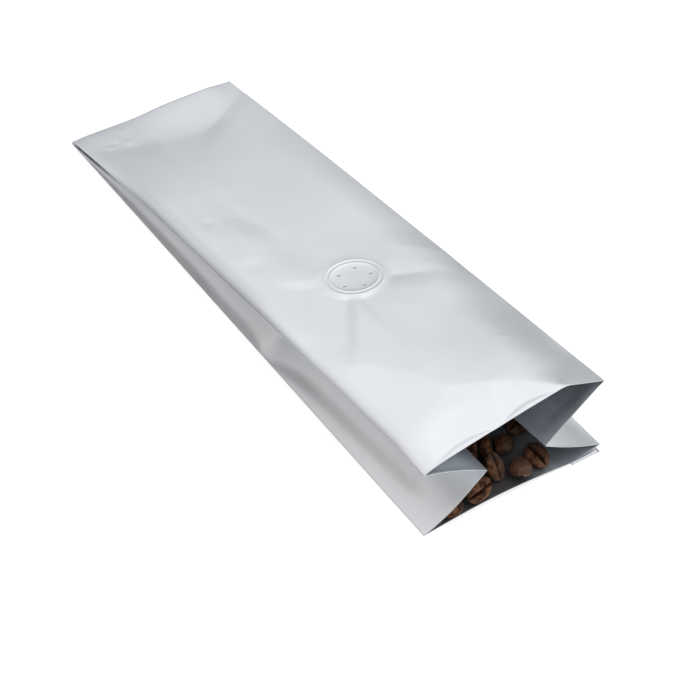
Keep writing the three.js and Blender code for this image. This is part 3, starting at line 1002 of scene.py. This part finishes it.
class COFFEEBAG_OT_back_seam(Operator):
    """Makes the back seam: a flap folded over on the floor under the right edge"""

    bl_idname = "coffee_bag.back_seam"
    bl_label = "Make back seam"

    def execute(self, context):
        settings = context.scene.coffee_bag
        shape = BagShape(settings.sizes)
        s = steps((FIN_START, SEAM_STEPS[0]), (shape.length, None))[:, None]
        x = steps((FIN_ROOT - FIN_OVERLAP, SEAM_STEPS[1]), (FIN_TIP, None))[None, :]
        rise, along, across = FIN_WAVE
        wave = rise * (1 + np.sin(s * along + x * across)) * smooth((x - FIN_ROOT) / FIN_EASE)
        height = shape.skin + wave
        points = np.stack([np.broadcast_to(x, height.shape),
                           np.broadcast_to(s - shape.length / 2, height.shape), height], axis=-1) * MM
        mesh = grid_mesh("back_seam", points, closed=False)
        add_mask(mesh, "pin_shade", np.zeros(height.shape))
        # The whole seam is painted darker, as painted shade
        add_mask(mesh, "painted_shade", np.ones(height.shape))
        silver = bpy.data.materials["silver_film"]
        seam = new_object("back_seam", mesh, silver, silver, bpy.data.materials["cut_film"])
        thicken(seam, settings.sizes.film_thickness)
        return {"FINISHED"}


class COFFEEBAG_OT_valve(Operator):
    """Makes the valve: the body of its solid, close under the creased skin"""

    bl_idname = "coffee_bag.valve"
    bl_label = "Make valve"

    def execute(self, context):
        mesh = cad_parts["valve"].data.copy()
        mesh.materials.clear()
        mesh.transform(Matrix.Translation(Vector(VALVE_SHIFT) * MM))
        valve = new_object("valve_body", mesh, moulded_valve(context.scene.coffee_bag.beans))
        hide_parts("valve")
        return {"FINISHED"}


def bean_points(length, width, seed):
    """Rows of points round a bean in millimetres, and how deep each lies in the groove. X is the long axis
    and +Z the grooved face."""
    theta = np.linspace(0, np.pi, BEAN_ROWS)[1:-1, None]
    spread = np.linspace(0, 2 * np.pi, BEAN_COLUMNS, endpoint=False)[None, :]
    phi = spread - BEAN_GATHER * np.sin(spread)
    along = np.cos(theta)
    girth = np.sin(theta) ** BEAN_BLUNTNESS
    across = np.sin(phi)
    up = np.cos(phi)
    y = girth * across * width / 2
    x = np.broadcast_to(along * length / 2, y.shape)
    cheeks = BEAN_CHEEKS * np.sin(np.pi * np.clip(np.abs(across), 0, 1)) * (up > 0)
    face = BEAN_FACE * np.sqrt(np.clip(up, 0, 1)) + cheeks
    z = girth * np.where(up > 0, face, BEAN_BACK * up)
    middle = sum(size * np.sin(along * turns + shift * seed) for size, turns, shift in GROOVE_WAVES)
    end, sharpness = GROOVE_END
    window = np.clip(1 - np.abs(along / end) ** sharpness, 0, 1) * (up > 0)
    groove = np.exp(-(((y - middle) / GROOVE_WIDTH) ** 2)) * window
    rise, place, breadth = GROOVE_LIPS
    lips = np.exp(-(((np.abs(y - middle) - place) / breadth) ** 2)) * window
    z = z + (rise * lips - GROOVE_DEPTH * groove) * girth ** 0.5
    return np.stack([x, y, z], axis=-1), groove


def bean_mesh(name, length, width, seed):
    """A closed bean mesh in millimetres, with its groove stored for the material."""
    points, groove = bean_points(length, width, seed)
    away = Vector((seed * LUMP_SHIFT, 0, 0))

    def lump(point):
        return sum(rise * noise.noise(Vector(point) * fineness + away) for rise, fineness in BEAN_LUMPS)

    lumps = [[lump(point) for point in row] for row in points]
    out = points / np.linalg.norm(points, axis=-1, keepdims=True)
    points = points + out * (np.array(lumps) * (1 - groove))[..., None]
    mesh = grid_mesh(name, points, closed=True)
    built = bmesh.new()
    built.from_mesh(mesh)
    for sign in (1, -1):
        rim = [edge for edge in built.edges if edge.is_boundary and sign * edge.verts[0].co.x > 0]
        bmesh.ops.contextual_create(built, geom=rim)
    bmesh.ops.recalc_face_normals(built, faces=built.faces)
    built.to_mesh(mesh)
    built.free()
    mesh.shade_smooth()
    add_mask(mesh, "groove", groove)
    return mesh


class COFFEEBAG_OT_beans(Operator):
    """Makes the nine roasted beans just inside the mouth"""

    bl_idname = "coffee_bag.beans"
    bl_label = "Make beans"

    def execute(self, context):
        settings = context.scene.coffee_bag
        sizes = settings.sizes
        shape = BagShape(sizes)
        roast = roasted_bean(settings.beans)
        for seed, (node, (turn, slope, roll, scale)) in enumerate(BEAN_TURNS.items()):
            mesh = bean_mesh(node + "_roast", sizes.bean_length / MM, sizes.bean_width / MM, seed)
            angles = [math.radians(angle) for angle in (roll, -slope, turn)]
            mesh.transform(Euler(angles).to_matrix().to_4x4() * (scale * MM))
            corners = np.array([vertex.co for vertex in mesh.vertices])
            low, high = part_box(node)
            middle = (Vector(corners.min(0)) + Vector(corners.max(0))) / 2
            shift = (low + high) / 2 - middle + Vector((*BEAN_SHIFTS.get(node, (0, 0)), 0)) * MM
            placed = (corners + np.array(shift)) / MM
            under = shape.back_height(placed[:, 0], placed[:, 1] + shape.length / 2) + shape.skin
            shift.z -= (placed[:, 2] - under).min() * MM
            mesh.transform(Matrix.Translation(shift))
            bean = new_object(node + "_roast", mesh, roast)
            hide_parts(node)
        return {"FINISHED"}


class COFFEEBAG_OT_stage(Operator):
    """Sets the floor, the soft light and the camera"""

    bl_idname = "coffee_bag.stage"
    bl_label = "Set stage"

    def execute(self, context):
        scene = context.scene
        stage = scene.coffee_bag.stage
        scene.view_settings.view_transform = "Standard"
        mesh = bpy.data.meshes.new("floor")
        corners = [(across * FLOOR_REACH, along * FLOOR_REACH, 0)
                   for across, along in ((-1, -1), (1, -1), (1, 1), (-1, 1))]
        mesh.from_pydata(corners, [], [(0, 1, 2, 3)])
        mesh.materials.append(pale_floor(stage.floor))
        floor = bpy.data.objects.new("floor", mesh)
        floor.location.z = -FLOOR_DROP
        scene.collection.objects.link(floor)
        self.light_around(scene, stage)
        lamp = bpy.data.lights.new("overhead", "AREA")
        lamp.energy = stage.overhead
        lamp.size = LAMP_SIZE
        overhead = bpy.data.objects.new("overhead", lamp)
        overhead.location = LAMP_PLACE
        overhead.visible_glossy = False
        scene.collection.objects.link(overhead)
        camera = bpy.data.cameras.new("camera")
        camera.lens = stage.lens
        camera.sensor_width = SENSOR_WIDTH
        camera.clip_start = NEAREST
        viewer = bpy.data.objects.new("camera", camera)
        viewer.location = stage.camera_place
        viewer.rotation_euler = (math.radians(90) - stage.elevation, 0, -stage.azimuth)
        scene.collection.objects.link(viewer)
        scene.camera = viewer
        return {"FINISHED"}

    def light_around(self, scene, stage):
        """Soft light from all round, brighter from above, and a plain pale backdrop."""
        world = bpy.data.worlds.new("studio")
        scene.world = world
        world.use_nodes = True
        tree = world.node_tree
        background = tree.nodes["Background"]
        direction = tree.nodes.new("ShaderNodeTexCoord").outputs["Generated"]
        split = tree.nodes.new("ShaderNodeSeparateXYZ")
        tree.links.new(direction, split.inputs["Vector"])
        across = tree.nodes.new("ShaderNodeMapRange")
        across.inputs["From Min"].default_value = -1
        tree.links.new(split.outputs["X"], across.inputs["Value"])
        product = tree.nodes.new("ShaderNodeVectorMath")
        product.operation = "MULTIPLY"
        tree.links.new(self.ramp(tree, split.outputs["Z"], UPWARDS), product.inputs[0])
        tree.links.new(self.ramp(tree, across.outputs["Result"], ACROSS), product.inputs[1])
        backdrop = tree.nodes.new("ShaderNodeMix")
        backdrop.data_type = "RGBA"
        backdrop.inputs[7].default_value = BACKDROP
        seen = tree.nodes.new("ShaderNodeLightPath").outputs["Is Camera Ray"]
        tree.links.new(seen, backdrop.inputs["Factor"])
        tree.links.new(product.outputs["Vector"], backdrop.inputs[6])
        tree.links.new(backdrop.outputs[2], background.inputs["Color"])
        background.inputs["Strength"].default_value = stage.sky

    def ramp(self, tree, place, stops):
        """A grey that changes from stop to stop, and may be a little blue."""
        node = tree.nodes.new("ShaderNodeValToRGB")
        elements = node.color_ramp.elements
        elements[0].position = stops[0][0]
        elements[1].position = stops[-1][0]
        for stop in stops[1:-1]:
            elements.new(stop[0])
        for element, (_, value, blue) in zip(elements, stops):
            element.color = (value * (1 - blue), value, value * (1 + blue), 1)
        tree.links.new(place, node.inputs["Fac"])
        return node.outputs["Color"]


class COFFEEBAG_PT_sidebar(Panel):
    """Lists the pieces of the bag"""

    bl_label = "Coffee Bag"
    bl_idname = "COFFEEBAG_PT_sidebar"
    bl_space_type = "VIEW_3D"
    bl_region_type = "UI"
    bl_category = "Coffee Bag"

    def draw(self, context):
        settings = context.scene.coffee_bag
        for operator in OPERATORS:
            self.layout.operator(operator.bl_idname)
        for group in (settings.sizes, settings.film, settings.beans, settings.stage):
            box = self.layout.box()
            for name in group.__annotations__:
                box.prop(group, name)


OPERATORS = (COFFEEBAG_OT_film, COFFEEBAG_OT_back_seam, COFFEEBAG_OT_valve, COFFEEBAG_OT_beans,
             COFFEEBAG_OT_stage)
CLASSES = (BagSizes, FilmFinish, BeanFinish, StageSettings, CoffeeBagSettings, *OPERATORS,
           COFFEEBAG_PT_sidebar)


def register():
    for item in CLASSES:
        bpy.utils.register_class(item)
    bpy.types.Scene.coffee_bag = PointerProperty(type=CoffeeBagSettings)


def unregister():
    del bpy.types.Scene.coffee_bag
    for item in reversed(CLASSES):
        bpy.utils.unregister_class(item)


def main():
    """Makes the pieces in order."""
    register()
    bpy.ops.coffee_bag.film()
    bpy.ops.coffee_bag.back_seam()
    bpy.ops.coffee_bag.valve()
    bpy.ops.coffee_bag.beans()
    bpy.ops.coffee_bag.stage()


if __name__ == "__main__":
    main()
